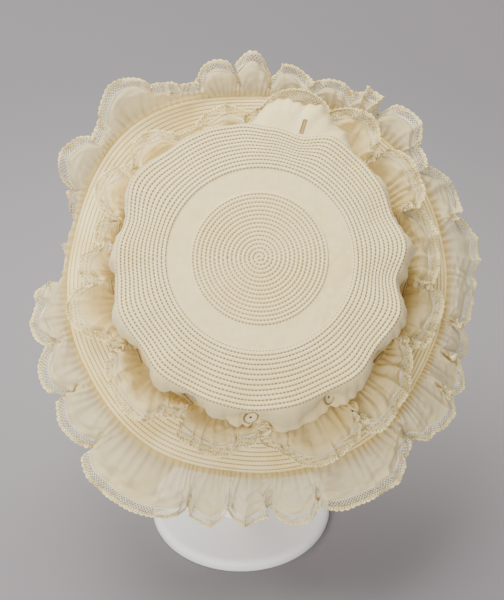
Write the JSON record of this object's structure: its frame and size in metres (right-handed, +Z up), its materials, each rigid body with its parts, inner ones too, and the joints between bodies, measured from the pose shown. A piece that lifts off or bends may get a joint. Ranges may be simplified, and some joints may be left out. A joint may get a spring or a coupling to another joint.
{
  "type": "child's ruffled hat on a plain display stand",
  "caption": "Child's cotton summer hat with a corded button-on crown, corded brim and lace-edged ruffles, tipped back on a plain round-footed display stand.",
  "frame": {"origin": "centre of the flat underside of the stand's foot", "axes": "+Z up; the hat's tip faces up and towards -Y, the side that the picture shows; +X to the right in the picture"},
  "size_m": [0.2911, 0.2221, 0.2907],
  "materials": {
    "lawn": "washed cream cotton lawn",
    "aged_lawn": "cotton lawn yellowed with age",
    "sheer_lawn": "sheer cream cotton lawn",
    "lace": "open cotton lace",
    "linen": "linen over a ring, rust at the rim",
    "white_stand": "satin white paint"
  },
  "bodies": {
    "root": {"corded_crown": "lawn", "crown_band": "lawn", "brim": "aged_lawn", "upper_ruffle": "sheer_lawn", "upper_ruffle_lace": "lace", "outer_ruffle": "sheer_lawn", "outer_ruffle_lace": "lace", "button_01": "linen", "button_02": "linen", "button_03": "linen", "button_04": "linen", "button_05": "linen", "button_06": "linen", "button_07": "linen", "button_08": "linen", "button_09": "linen", "button_10": "linen", "button_11": "linen", "button_12": "linen", "button_13": "linen", "stand_foot": "white_stand", "stand_stem": "white_stand", "stand_pad": "white_stand"}
  },
  "joints": []
}
